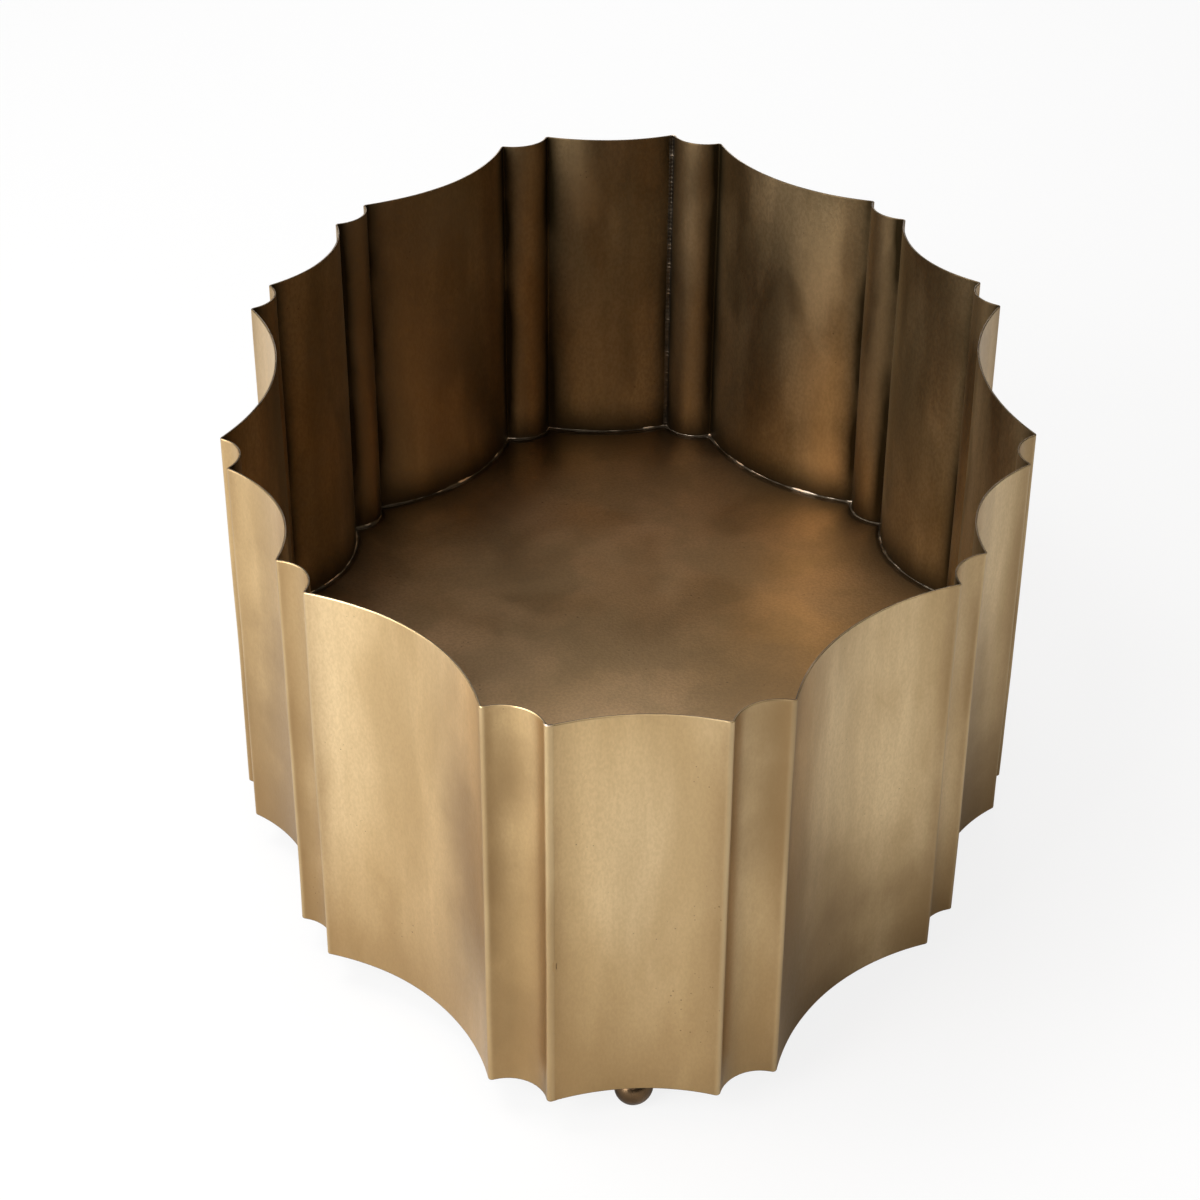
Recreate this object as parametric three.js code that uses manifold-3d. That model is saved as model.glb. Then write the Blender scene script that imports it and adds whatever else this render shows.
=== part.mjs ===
// Oblong scalloped planter in brass sheet, on four ball feet. Millimetres, +Z up.
// The long axis lies along Y with the front at -Y. The origin is on the standing surface,
// below the middle of the vessel.
//
// The wall is two equal halves, each a strip folded into twelve hollow flutes. The halves meet in
// two brazed seams, at opposite corners of the end flutes. A flat floor plate is brazed inside the
// foot of the wall, and a ball foot is brazed under it at each end of both axes.

import * as THREE from 'three';
import * as BufferGeometryUtils from 'three/addons/utils/BufferGeometryUtils.js';
import Module from 'manifold-3d';

const wasm = await Module();
wasm.setup();

// ---------------------------------------------------------------- driving dimensions

// The sharp corners between the flutes, the cusps, stand on a guide oval.
const OVAL_LENGTH = 650; // along Y
const OVAL_WIDTH = 417; // along X
const OVAL_POWER = 1.78; // 2 is an ellipse, and less is leaner at the shoulders

const WALL_HEIGHT = 205;
const SHEET = 1; // wall sheet
const CUSP_RADIUS = 1.9; // outside radius of the fold at a cusp

// Each flute is an arc that sinks into the vessel between two cusps.
const END_FLUTE_WIDTH = 76;
const END_FLUTE_DEPTH = 7.4;
const NARROW_FLUTE_WIDTH = 30;
const NARROW_FLUTE_DEPTH = 7.7;
const SHOULDER_FLUTE_WIDTH = 120;
const SHOULDER_FLUTE_DEPTH = 16.6;
const FLANK_FLUTE_WIDTH = 90.6;
const FLANK_FLUTE_DEPTH = 13.8;
const SIDE_FLUTE_DEPTH = 19.2; // its width is what the others leave

const FLOOR_SHEET = 1.2;
const FLOOR_RECESS = 1; // from the wall's bottom edge up to the underside of the floor plate
const FLOOR_BRAZE_LEG = 2.6; // height and width of the bead round the floor
const FLOOR_BRAZE_HOLLOW = 0.38; // of the leg, to the middle of the sloping face: 0.5 is flat
const FLOOR_BRAZE_CUSP_RADIUS = 3.4; // the bead's toe is rounder than the fold that it fills

const SEAM_BRAZE_LEG = 2.4; // how far the seam's bead runs along each half, inside
const SEAM_BRAZE_CROWN = 0.7; // how far the bead stands proud of the line between its legs

const FOOT_DIAMETER = 18;
const FOOT_TOP_FLAT = 6; // diameter of the face that seats on the floor plate
const FOOT_BOTTOM_FLAT = 4; // diameter of the face that it stands on
const FOOT_WALL_CLEARANCE = 0.6; // from the ball to the inside of the wall
const FOOT_BRAZE_REACH = 2.2; // width of the ring of braze on the floor plate
const FOOT_BRAZE_HOLLOW = 0.75; // of the ring's height, up to the middle of its hollow face

const JOINT_GAP = 0.3; // left between two brazed pieces

// ---------------------------------------------------------------- how fine the curves are

const FLUTE_STEP = 9; // longest straight step along a flute
const FLUTE_LEAST_STEPS = 6;
const CUSP_STEPS = 4;
const FOOT_RINGS = 10;
const FOOT_SIDES = 20;
const SOLVER_ROUNDS = 60;
const MERGE_DISTANCE = 1e-4; // points closer than this are one corner of a solid

// ---------------------------------------------------------------- derived places

const footRadius = FOOT_DIAMETER / 2;
const footHeight = chordDistance(footRadius, FOOT_TOP_FLAT) + chordDistance(footRadius, FOOT_BOTTOM_FLAT);
const floorUnderside = footHeight + JOINT_GAP;
const floorTop = floorUnderside + FLOOR_SHEET;
const wallBottom = floorUnderside - FLOOR_RECESS;
const wallTop = wallBottom + WALL_HEIGHT;
const liningInset = SHEET + JOINT_GAP; // from the outer face of the wall to what fits inside it

/** Distance from a circle's centre to a chord of the given length. */
function chordDistance(radius, chord) {
  return Math.sqrt(radius ** 2 - (chord / 2) ** 2);
}

// ---------------------------------------------------------------- plan of the vessel

/** Point of the guide oval in the front right quarter: 0 is the front end, PI / 2 the right side. */
function ovalPoint(turn) {
  const x = (OVAL_WIDTH / 2) * Math.sin(turn) ** (2 / OVAL_POWER);
  const y = (OVAL_LENGTH / 2) * Math.cos(turn) ** (2 / OVAL_POWER);
  return new THREE.Vector2(x, -y);
}

/** The turn past `start` where `measure` of the oval's point grows to `target`. */
function solveTurn(start, target, measure) {
  let low = start;
  let high = Math.PI / 2;
  for (let round = 0; round < SOLVER_ROUNDS; round += 1) {
    const middle = (low + high) / 2;
    if (measure(ovalPoint(middle)) < target) low = middle;
    else high = middle;
  }
  return (low + high) / 2;
}

/** The six cusps of the front right quarter, from the end flute round to the side flute. */
function quarterCusps() {
  const widths = [
    NARROW_FLUTE_WIDTH,
    SHOULDER_FLUTE_WIDTH,
    NARROW_FLUTE_WIDTH,
    FLANK_FLUTE_WIDTH,
    NARROW_FLUTE_WIDTH,
  ];
  let turn = solveTurn(0, END_FLUTE_WIDTH / 2, (point) => point.x);
  const cusps = [ovalPoint(turn)];
  for (const width of widths) {
    const last = ovalPoint(turn);
    turn = solveTurn(turn, width, (point) => point.distanceTo(last));
    cusps.push(ovalPoint(turn));
  }
  return cusps;
}

/** The vessel's flutes, anticlockwise from the front end flute: cusp to cusp, with the arc's centre. */
function makeFlutes() {
  const quarter = quarterCusps();
  const first = new THREE.Vector2(-quarter[0].x, quarter[0].y);
  const rear = quarter.map((cusp) => new THREE.Vector2(cusp.x, -cusp.y)).reverse();
  const half = [first, ...quarter, ...rear.slice(0, -1)];
  const cusps = [...half, ...half.map((cusp) => cusp.clone().negate())];
  const depths = [
    END_FLUTE_DEPTH,
    NARROW_FLUTE_DEPTH,
    SHOULDER_FLUTE_DEPTH,
    NARROW_FLUTE_DEPTH,
    FLANK_FLUTE_DEPTH,
    NARROW_FLUTE_DEPTH,
    SIDE_FLUTE_DEPTH,
    NARROW_FLUTE_DEPTH,
    FLANK_FLUTE_DEPTH,
    NARROW_FLUTE_DEPTH,
    SHOULDER_FLUTE_DEPTH,
    NARROW_FLUTE_DEPTH,
  ];
  return cusps.map((start, index) => {
    const end = cusps[(index + 1) % cusps.length];
    return makeFlute(start, end, depths[index % depths.length]);
  });
}

/** An arc between two cusps that bows into the vessel. Its centre lies outside the vessel. */
function makeFlute(start, end, depth) {
  const width = start.distanceTo(end);
  const radius = (width ** 2 / 4 + depth ** 2) / (2 * depth);
  const outward = new THREE.Vector2(end.y - start.y, start.x - end.x).normalize();
  const centre = start.clone().add(end).multiplyScalar(0.5).addScaledVector(outward, radius - depth);
  const steps = Math.max(FLUTE_LEAST_STEPS, Math.ceil(width / FLUTE_STEP));
  return { centre, radius, outward, steps };
}

const flutes = makeFlutes();
const flutesPerHalf = flutes.length / 2;

/** Centre of the fold between two flutes, `inset` inside the outer face of the wall. */
function foldCentre(before, after, inset, foldRadius) {
  const across = after.centre.clone().sub(before.centre);
  const span = across.length();
  const reachBefore = before.radius + inset + foldRadius;
  const reachAfter = after.radius + inset + foldRadius;
  const along = (span ** 2 + reachBefore ** 2 - reachAfter ** 2) / (2 * span);
  const aside = Math.sqrt(reachBefore ** 2 - along ** 2);
  const direction = across.divideScalar(span);
  const inward = new THREE.Vector2(-direction.y, direction.x);
  return before.centre.clone().addScaledVector(direction, along).addScaledVector(inward, aside);
}

/** Points of an arc about `centre` from one angle to another, ends included. */
function arcPoints(centre, radius, from, to, steps) {
  const points = [];
  for (let step = 0; step <= steps; step += 1) {
    const angle = from + ((to - from) * step) / steps;
    points.push(new THREE.Vector2(centre.x + radius * Math.cos(angle), centre.y + radius * Math.sin(angle)));
  }
  return points;
}

/** Angle of the line from one point to another. */
function bearing(from, to) {
  return Math.atan2(to.y - from.y, to.x - from.x);
}

/** The same angle, brought within half a turn of `near`. */
function unwrap(angle, near) {
  return near + Math.atan2(Math.sin(angle - near), Math.cos(angle - near));
}

/** The fold at the start of flute `index`, `inset` inside the outer face. */
function foldAt(index, inset, foldRadius) {
  const before = flutes[(index + flutes.length - 1) % flutes.length];
  const after = flutes[index % flutes.length];
  const centre = foldCentre(before, after, inset, foldRadius);
  const from = bearing(centre, before.centre);
  const to = unwrap(bearing(centre, after.centre), from);
  return { centre, radius: foldRadius, from, to };
}

/** The angles about its own centre between which flute `index` runs, from fold to fold. */
function fluteRange(index, inset, foldRadius) {
  const flute = flutes[index % flutes.length];
  const from = bearing(flute.centre, foldAt(index, inset, foldRadius).centre);
  const to = unwrap(bearing(flute.centre, foldAt(index + 1, inset, foldRadius).centre), from);
  return { from, to };
}

/** Points of one flute, `inset` inside the outer face. `trim` shortens it at its start and end. */
function flutePoints(index, inset, foldRadius, trim = [0, 0]) {
  const flute = flutes[index % flutes.length];
  const range = fluteRange(index, inset, foldRadius);
  const from = range.from - trim[0] / flute.radius;
  const to = range.to + trim[1] / flute.radius;
  return arcPoints(flute.centre, flute.radius + inset, from, to, flute.steps);
}

/** The whole plan as a closed loop of points, `inset` inside the outer face of the wall. */
function planLoop(inset, foldRadius) {
  return flutes.flatMap((flute, index) => {
    const fold = foldAt(index, inset, foldRadius);
    const corner = arcPoints(fold.centre, fold.radius, fold.from, fold.to, CUSP_STEPS);
    return [...corner, ...flutePoints(index, inset, foldRadius).slice(1, -1)];
  });
}

/** One face of a wall half: twelve flutes and the eleven folds between them. */
function halfPath(inset) {
  const foldRadius = CUSP_RADIUS - inset;
  const path = [];
  for (let index = 0; index < flutesPerHalf; index += 1) {
    if (index > 0) {
      const fold = foldAt(index, inset, foldRadius);
      path.push(...arcPoints(fold.centre, fold.radius, fold.from, fold.to, CUSP_STEPS).slice(1, -1));
    }
    const trim = [index === 0 ? JOINT_GAP : 0, index === flutesPerHalf - 1 ? JOINT_GAP : 0];
    path.push(...flutePoints(index, inset, foldRadius, trim));
  }
  return path;
}

// ---------------------------------------------------------------- making solids

/** Extrudes a closed outline upwards from height `bottom`. */
function prism(outline, bottom, height) {
  const settings = { depth: height, bevelEnabled: false, steps: 1 };
  return new THREE.ExtrudeGeometry(new THREE.Shape(outline), settings).translate(0, 0, bottom);
}

/** A closed ring through loops of points at given heights, in the order of its section. */
function ringSolid(loops) {
  const count = loops[0].points.length;
  const positions = loops.flatMap(({ points, height }) => points.flatMap(({ x, y }) => [x, y, height]));
  const faces = [];
  for (let loop = 0; loop < loops.length; loop += 1) {
    const here = loop * count;
    const above = ((loop + 1) % loops.length) * count;
    for (let index = 0; index < count; index += 1) {
      const next = (index + 1) % count;
      faces.push(here + index, here + next, above + next, here + index, above + next, above + index);
    }
  }
  const geometry = new THREE.BufferGeometry();
  geometry.setAttribute('position', new THREE.Float32BufferAttribute(positions, 3));
  geometry.setIndex(faces);
  return geometry;
}

/** A closed mesh as a solid that can be joined. */
function toSolid(geometry) {
  const bare = geometry.clone().deleteAttribute('normal').deleteAttribute('uv');
  const merged = BufferGeometryUtils.mergeVertices(bare, MERGE_DISTANCE);
  const vertProperties = new Float32Array(merged.attributes.position.array);
  const triVerts = new Uint32Array(merged.index.array);
  return new wasm.Manifold(new wasm.Mesh({ numProp: 3, vertProperties, triVerts }));
}

/** A joined solid as a geometry. */
function toGeometry(solid) {
  const mesh = solid.getMesh();
  const geometry = new THREE.BufferGeometry();
  geometry.setAttribute('position', new THREE.BufferAttribute(mesh.vertProperties, 3));
  geometry.setIndex(new THREE.BufferAttribute(mesh.triVerts, 1));
  return geometry;
}

// ---------------------------------------------------------------- materials

function metal(color, roughness) {
  return new THREE.MeshStandardMaterial({ color, roughness, metalness: 1 });
}

const wallBrass = metal(0xb08d57, 0.42);
const floorBrass = metal(0x8a6a40, 0.5);
const footBrass = metal(0x7a6038, 0.35);
const brazeBrass = metal(0xb9a27a, 0.55);

// ---------------------------------------------------------------- the wall

/** The right half as built; the left half is the same piece turned half round. */
function wallHalfGeometry() {
  const outline = [...halfPath(0), ...halfPath(SHEET).reverse()];
  return prism(outline, wallBottom, WALL_HEIGHT);
}

/** The braze between the two halves: it rounds the cusp outside and lies as a bead inside. */
function seamBrazeGeometry() {
  const outer = foldAt(0, 0, CUSP_RADIUS);
  const innerRadius = CUSP_RADIUS - SHEET;
  const stem = [
    ...arcPoints(outer.centre, outer.radius, outer.from, outer.to, CUSP_STEPS),
    ...arcPoints(outer.centre, innerRadius, outer.to, outer.from, CUSP_STEPS),
  ];
  const beadBottom = floorTop + FLOOR_BRAZE_LEG + 2 * JOINT_GAP;
  const stemSolid = toSolid(prism(stem, wallBottom, WALL_HEIGHT));
  const beadSolid = toSolid(prism(seamBeadOutline(outer), beadBottom, wallTop - beadBottom));
  return toGeometry(stemSolid.add(beadSolid));
}

/** The bead's section: from just inside the stem, out along both flutes, and across with a crown. */
function seamBeadOutline(fold) {
  const before = flutes[flutes.length - 1];
  const after = flutes[0];
  const legAfter = beadLeg(after, fold, -SEAM_BRAZE_LEG);
  const legBefore = beadLeg(before, fold, SEAM_BRAZE_LEG);
  const axisOut = new THREE.Vector2(Math.cos((fold.from + fold.to) / 2), Math.sin((fold.from + fold.to) / 2));
  const crown = legAfter.end.clone().add(legBefore.end).multiplyScalar(0.5);
  crown.addScaledVector(axisOut, -SEAM_BRAZE_CROWN);
  const root = arcPoints(fold.centre, CUSP_RADIUS - SHEET / 2, fold.from, fold.to, CUSP_STEPS);
  return [...root.slice(1, -1), legAfter.start, legAfter.end, crown, legBefore.end, legBefore.start];
}

/** Where the bead runs along one flute's inner face: its two ends, from the fold outwards. */
function beadLeg(flute, fold, length) {
  const radius = flute.radius + liningInset;
  const from = bearing(flute.centre, fold.centre);
  const [start, end] = arcPoints(flute.centre, radius, from, from + length / radius, 1);
  return { start, end };
}

// ---------------------------------------------------------------- the floor

function floorPlateGeometry() {
  const outline = planLoop(liningInset, CUSP_RADIUS - liningInset);
  return prism(outline, floorUnderside, FLOOR_SHEET);
}

/** The bead in the corner between floor and wall, a little hollow on its sloping face. */
function floorBrazeGeometry() {
  const base = floorTop + JOINT_GAP;
  const root = planLoop(liningInset, CUSP_RADIUS - liningInset);
  const toe = planLoop(liningInset + FLOOR_BRAZE_LEG, FLOOR_BRAZE_CUSP_RADIUS);
  const middle = root.map((point, index) => point.clone().lerp(toe[index], FLOOR_BRAZE_HOLLOW));
  return ringSolid([
    { points: root, height: base },
    { points: root, height: base + FLOOR_BRAZE_LEG },
    { points: middle, height: base + FLOOR_BRAZE_HOLLOW * FLOOR_BRAZE_LEG },
    { points: toe, height: base },
  ]);
}

// ---------------------------------------------------------------- the feet

/** A turned ball with a flat to stand on and a flat that seats under the floor plate. */
function footGeometry() {
  const centreHeight = chordDistance(footRadius, FOOT_BOTTOM_FLAT);
  const from = Math.asin(FOOT_BOTTOM_FLAT / 2 / footRadius) - Math.PI / 2;
  const to = Math.PI / 2 - Math.asin(FOOT_TOP_FLAT / 2 / footRadius);
  const ball = arcPoints(new THREE.Vector2(0, centreHeight), footRadius, from, to, FOOT_RINGS);
  const profile = [new THREE.Vector2(0, 0), ...ball, new THREE.Vector2(0, footHeight)];
  return new THREE.LatheGeometry(profile, FOOT_SIDES).rotateX(Math.PI / 2);
}

/** The ring of braze round the top of a foot, hollow like a small cove. */
function footBrazeGeometry() {
  const top = footHeight;
  const centre = new THREE.Vector2(0, chordDistance(footRadius, FOOT_BOTTOM_FLAT));
  const reach = footRadius + JOINT_GAP;
  const seat = Math.asin((top - centre.y) / reach);
  const drop = FOOT_BRAZE_REACH / reach;
  const [root, waist, toe] = arcPoints(centre, reach, seat, seat - drop, 2);
  const edge = new THREE.Vector2(toe.x + FOOT_BRAZE_REACH, top);
  const cove = waist.clone().lerp(edge, 0.5);
  cove.y = toe.y + FOOT_BRAZE_HOLLOW * (top - toe.y);
  const profile = [root, waist, toe, cove, edge, root];
  return new THREE.LatheGeometry(profile, FOOT_SIDES).rotateX(Math.PI / 2);
}

/** Places of the feet: under the middle of the end flutes and of the side flutes. */
function footPlaces() {
  const fromWall = liningInset - JOINT_GAP + FOOT_WALL_CLEARANCE + footRadius;
  const place = (index) => {
    const { centre, outward, radius } = flutes[index];
    return centre.clone().addScaledVector(outward, -(radius + fromWall));
  };
  const sideFlute = flutesPerHalf / 2;
  return {
    front: place(0),
    right: place(sideFlute),
    back: place(flutesPerHalf),
    left: place(flutesPerHalf + sideFlute),
  };
}

// ---------------------------------------------------------------- the assembly

const planter = new THREE.Group();

function addPiece(name, geometry, material, place = new THREE.Vector2(), turn = 0) {
  const piece = new THREE.Mesh(geometry, material);
  piece.name = name;
  piece.position.set(place.x, place.y, 0);
  piece.rotation.z = turn;
  planter.add(piece);
}

const wallHalf = wallHalfGeometry();
addPiece('wall_half_right', wallHalf, wallBrass);
addPiece('wall_half_left', wallHalf, wallBrass, undefined, Math.PI);

const seamBraze = seamBrazeGeometry();
addPiece('seam_braze_front', seamBraze, brazeBrass);
addPiece('seam_braze_back', seamBraze, brazeBrass, undefined, Math.PI);

addPiece('floor_plate', floorPlateGeometry(), floorBrass);
addPiece('floor_braze', floorBrazeGeometry(), brazeBrass);

const foot = footGeometry();
const footBraze = footBrazeGeometry();
for (const [side, place] of Object.entries(footPlaces())) {
  addPiece(`foot_${side}`, foot, footBrass, place);
  addPiece(`foot_braze_${side}`, footBraze, brazeBrass, place);
}

export default planter;
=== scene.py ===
"""Studio view of an oblong planter in scalloped brass sheet, on four ball feet. Metres, +Z up.

The plan is read from the frame's floor plate. Every visible piece is then made again at a fine step,
with the small faults of hand work: wandering folds, a rim that isn't quite level, and rough braze.
"""

import math

import bpy
import numpy as np
from mathutils import Matrix, Vector, noise


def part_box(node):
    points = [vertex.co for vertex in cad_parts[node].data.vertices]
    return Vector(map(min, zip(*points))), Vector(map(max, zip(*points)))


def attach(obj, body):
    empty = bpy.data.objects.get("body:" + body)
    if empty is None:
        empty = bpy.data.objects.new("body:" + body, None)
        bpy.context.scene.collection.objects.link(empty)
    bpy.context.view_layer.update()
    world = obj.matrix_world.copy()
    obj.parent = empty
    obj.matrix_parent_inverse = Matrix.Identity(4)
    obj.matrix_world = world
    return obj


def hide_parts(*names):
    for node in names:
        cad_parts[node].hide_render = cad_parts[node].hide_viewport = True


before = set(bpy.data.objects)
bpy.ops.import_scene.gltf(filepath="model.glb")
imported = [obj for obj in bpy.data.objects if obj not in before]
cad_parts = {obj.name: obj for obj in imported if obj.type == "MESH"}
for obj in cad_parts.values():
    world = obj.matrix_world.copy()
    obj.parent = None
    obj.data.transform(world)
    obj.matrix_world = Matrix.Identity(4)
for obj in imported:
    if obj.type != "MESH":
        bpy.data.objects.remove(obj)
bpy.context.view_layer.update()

MM = 0.001

# ------------------------------------------------------------------ sizes of the sheet and the braze
SHEET = 1.0 * MM
OUTER_ROUND = 0.4 * MM  # the cut edges of the sheet, rubbed round outside and only broken inside
INNER_ROUND = 0.2 * MM
FLUTE_STEP = 2.6 * MM
FOLD_STEPS = 8
RISE_STEP = 4.0 * MM
FINE_STEP = 0.5 * MM
FEWEST_STEPS = 6  # along the narrowest flute
LENGTH_STEPS = 24  # to measure a flute's length
CREST_REACH = 1.6 * MM  # wear and a painted highlight beside a fold's crest
NOOK_REACH = 9 * MM  # tarnish and painted shade beside a fold
NARROW_WIDTH = 45 * MM  # a flute less wide than this gets painted shade outside and a painted highlight inside

# ------------------------------------------------------------------ the frame's levels
wall_low, wall_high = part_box("wall_half_right")
plate_low, plate_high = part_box("floor_plate")
WALL_BOTTOM = wall_low.z
WALL_TOP = wall_high.z
FLOOR_UNDERSIDE = plate_low.z
FLOOR_TOP = plate_high.z
LINING = wall_high.x - plate_high.x  # from the wall's outer face to the floor plate's edge


# ------------------------------------------------------------------ camera
CAMERA_AIM = Vector((-2.2 * MM, 1.3 * MM, WALL_TOP))  # close to the middle of the rim
CAMERA_ORBIT = 1.287  # metres from the place aimed at
CAMERA_ELEVATION = math.radians(27.0)
CAMERA_AZIMUTH = math.radians(-1.7)
CAMERA_YAW = math.radians(-0.5)
CAMERA_PITCH = math.radians(-5.3)
CAMERA_ROLL = math.radians(0.6)
CAMERA_LENS = 75.2  # millimetres, behind a gate of 36
CAMERA_GATE = 36


def place_camera():
    """The camera circles the middle of the rim and is then turned a little, as one held by hand."""
    out = Vector((0, -math.cos(CAMERA_ELEVATION), math.sin(CAMERA_ELEVATION)))
    ahead = -out
    right = Vector((1, 0, 0))
    up = right.cross(ahead)
    turned_ahead = math.cos(CAMERA_YAW) * ahead + math.sin(CAMERA_YAW) * right
    right = math.cos(CAMERA_YAW) * right - math.sin(CAMERA_YAW) * ahead
    ahead = math.cos(CAMERA_PITCH) * turned_ahead + math.sin(CAMERA_PITCH) * up
    up = math.cos(CAMERA_PITCH) * up - math.sin(CAMERA_PITCH) * turned_ahead
    rolled_right = math.cos(CAMERA_ROLL) * right + math.sin(CAMERA_ROLL) * up
    rolled_up = math.cos(CAMERA_ROLL) * up - math.sin(CAMERA_ROLL) * right
    axes = Matrix((rolled_right, rolled_up, -ahead)).transposed().to_4x4()
    aim = Matrix.Translation(CAMERA_AIM)
    orbit = Matrix.Rotation(CAMERA_AZIMUTH, 4, "Z")
    data = bpy.data.cameras.new("camera")
    data.lens = CAMERA_LENS
    data.sensor_width = CAMERA_GATE
    camera = bpy.data.objects.new("camera", data)
    camera.matrix_world = aim @ orbit @ Matrix.Translation(out * CAMERA_ORBIT) @ axes
    bpy.context.scene.collection.objects.link(camera)
    bpy.context.scene.camera = camera


# ------------------------------------------------------------------ plan, read from the floor plate
def plate_outline():
    """The floor plate's edge, anticlockwise. Every ray from the middle meets it once."""
    corners = np.array([v.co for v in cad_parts["floor_plate"].data.vertices])
    top = corners[corners[:, 2] > (FLOOR_TOP + FLOOR_UNDERSIDE) / 2, :2]
    edge = np.unique(top.round(6), axis=0)
    return edge[np.argsort(np.arctan2(edge[:, 1], edge[:, 0]))]


def circle_through(a, b, c):
    """Centre and radius of the circle through three points."""
    rows = 2 * np.array([b - a, c - a])
    centre = np.linalg.solve(rows, [b @ b - a @ a, c @ c - a @ a])
    return centre, float(np.linalg.norm(a - centre))


def turning(outline):
    """How the outline turns at each point: left at a fold, right along a flute."""
    before = outline - np.roll(outline, 1, axis=0)
    after = np.roll(outline, -1, axis=0) - outline
    return before[:, 0] * after[:, 1] - before[:, 1] * after[:, 0]


def read_plan():
    """The flutes' circles at the wall's outer face, and the folds' radius there."""
    outline = plate_outline()
    folded = turning(outline) > 0
    first = next(i for i in range(len(outline)) if folded[i] and not folded[i - 1])
    outline = np.roll(outline, -first, axis=0)
    folded = np.roll(folded, -first)
    changes = [i for i in range(1, len(outline)) if folded[i] != folded[i - 1]] + [len(outline)]
    starts = [0] + changes[:-1]
    flutes = []
    fold_radii = []
    for start, stop in zip(starts, changes):
        if folded[start]:
            run = outline[start:stop]
            fold_radii.append(circle_through(run[0], run[len(run) // 2], run[-1])[1])
        else:
            run = outline[np.arange(start - 1, stop + 1) % len(outline)]
            centre, radius = circle_through(run[0], run[len(run) // 2], run[-1])
            flutes.append({"centre": centre, "radius": radius - LINING})
    return flutes, float(np.mean(fold_radii)) + LINING


def bearing(start, stop):
    """The direction from one point to another, as an angle."""
    return math.atan2(stop[1] - start[1], stop[0] - start[0])


def unwrapped(angle, near):
    """The same angle, brought within half a turn of another."""
    return near + math.remainder(angle - near, 2 * math.pi)


def fold_centre(index, inset, radius):
    """Where the fold at the start of a flute is centred, for any inset from the outer face."""
    before = FLUTES[index - 1]
    after = FLUTES[index % len(FLUTES)]
    across = after["centre"] - before["centre"]
    span = np.linalg.norm(across)
    reach_before = before["radius"] + inset + radius
    reach_after = after["radius"] + inset + radius
    along = (span**2 + reach_before**2 - reach_after**2) / (2 * span)
    aside = math.sqrt(reach_before**2 - along**2)
    ahead = across / span
    return before["centre"] + along * ahead + aside * np.array([-ahead[1], ahead[0]])


def arc(centre, radius, start, stop, shares):
    """Points at the given shares of the way along an arc."""
    angles = start + (stop - start) * np.asarray(shares)
    return centre + radius * np.column_stack([np.cos(angles), np.sin(angles)])


def fold_arc(index, inset, radius, shares):
    """Points along a fold, between the two flutes that it joins."""
    centre = fold_centre(index, inset, radius)
    start = bearing(centre, FLUTES[index - 1]["centre"])
    stop = unwrapped(bearing(centre, FLUTES[index % len(FLUTES)]["centre"]), start)
    return arc(centre, radius, start, stop, shares)


def flute_arc(index, inset, radius, shares):
    """Points along a flute, from the fold at its start to the fold at its end."""
    flute = FLUTES[index % len(FLUTES)]
    start = bearing(flute["centre"], fold_centre(index, inset, radius))
    end_fold = fold_centre((index + 1) % len(FLUTES), inset, radius)
    stop = unwrapped(bearing(flute["centre"], end_fold), start)
    return arc(flute["centre"], flute["radius"] + inset, start, stop, shares)


FLUTES, FOLD_RADIUS = read_plan()


def seam_fold(node):
    """Which fold a seam's node stands at."""
    low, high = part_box(node)
    middle = np.array([(low.x + high.x) / 2, (low.y + high.y) / 2])
    gaps = [np.linalg.norm(fold_centre(i, 0, FOLD_RADIUS) - middle) for i in range(len(FLUTES))]
    return int(np.argmin(gaps))


def flute_shares(index, step):
    """Shares of a flute's length at an even step, with one more point close to each fold."""
    points = flute_arc(index, 0, FOLD_RADIUS, np.linspace(0, 1, LENGTH_STEPS))
    length = np.linalg.norm(np.diff(points, axis=0), axis=1).sum()
    count = max(FEWEST_STEPS, round(length / step))
    near = FINE_STEP / length
    return np.concatenate([[0, near], np.linspace(0, 1, count + 1)[1:-1], [1 - near, 1]])


def fold_marks(shares):
    """Marks along a fold: crest for wear and a painted highlight, nook for tarnish and painted shade,
    narrow flute.
    """
    crest = 1 - 0.5 * np.abs(2 * shares - 1)
    return np.column_stack([crest, np.ones(len(shares)), np.full(len(shares), 0.5)])


def flute_marks(run):
    """The same marks along a flute, which fade away from the folds at its ends."""
    away = np.minimum(np.linalg.norm(run - run[0], axis=1), np.linalg.norm(run - run[-1], axis=1))
    crest = 0.5 * np.clip(1 - away / CREST_REACH, 0, 1)
    narrow = float(np.linalg.norm(run[-1] - run[0]) < NARROW_WIDTH)
    return np.column_stack([crest, np.exp(-away / NOOK_REACH), np.full(len(run), narrow)])


def plan_path(first, count, inset, radius, step, closed=False):
    """Points along some flutes and the folds between them, and the marks at each point."""
    points = []
    marks = []
    fold_shares = np.linspace(0, 1, FOLD_STEPS + 1)[1:-1]
    for place in range(first, first + count):
        index = place % len(FLUTES)
        if closed or place > first:
            points.append(fold_arc(index, inset, radius, fold_shares))
            marks.append(fold_marks(fold_shares))
        run = flute_arc(index, inset, radius, flute_shares(index, step))
        points.append(run)
        marks.append(flute_marks(run))
    return np.vstack(points), np.vstack(marks)


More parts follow.
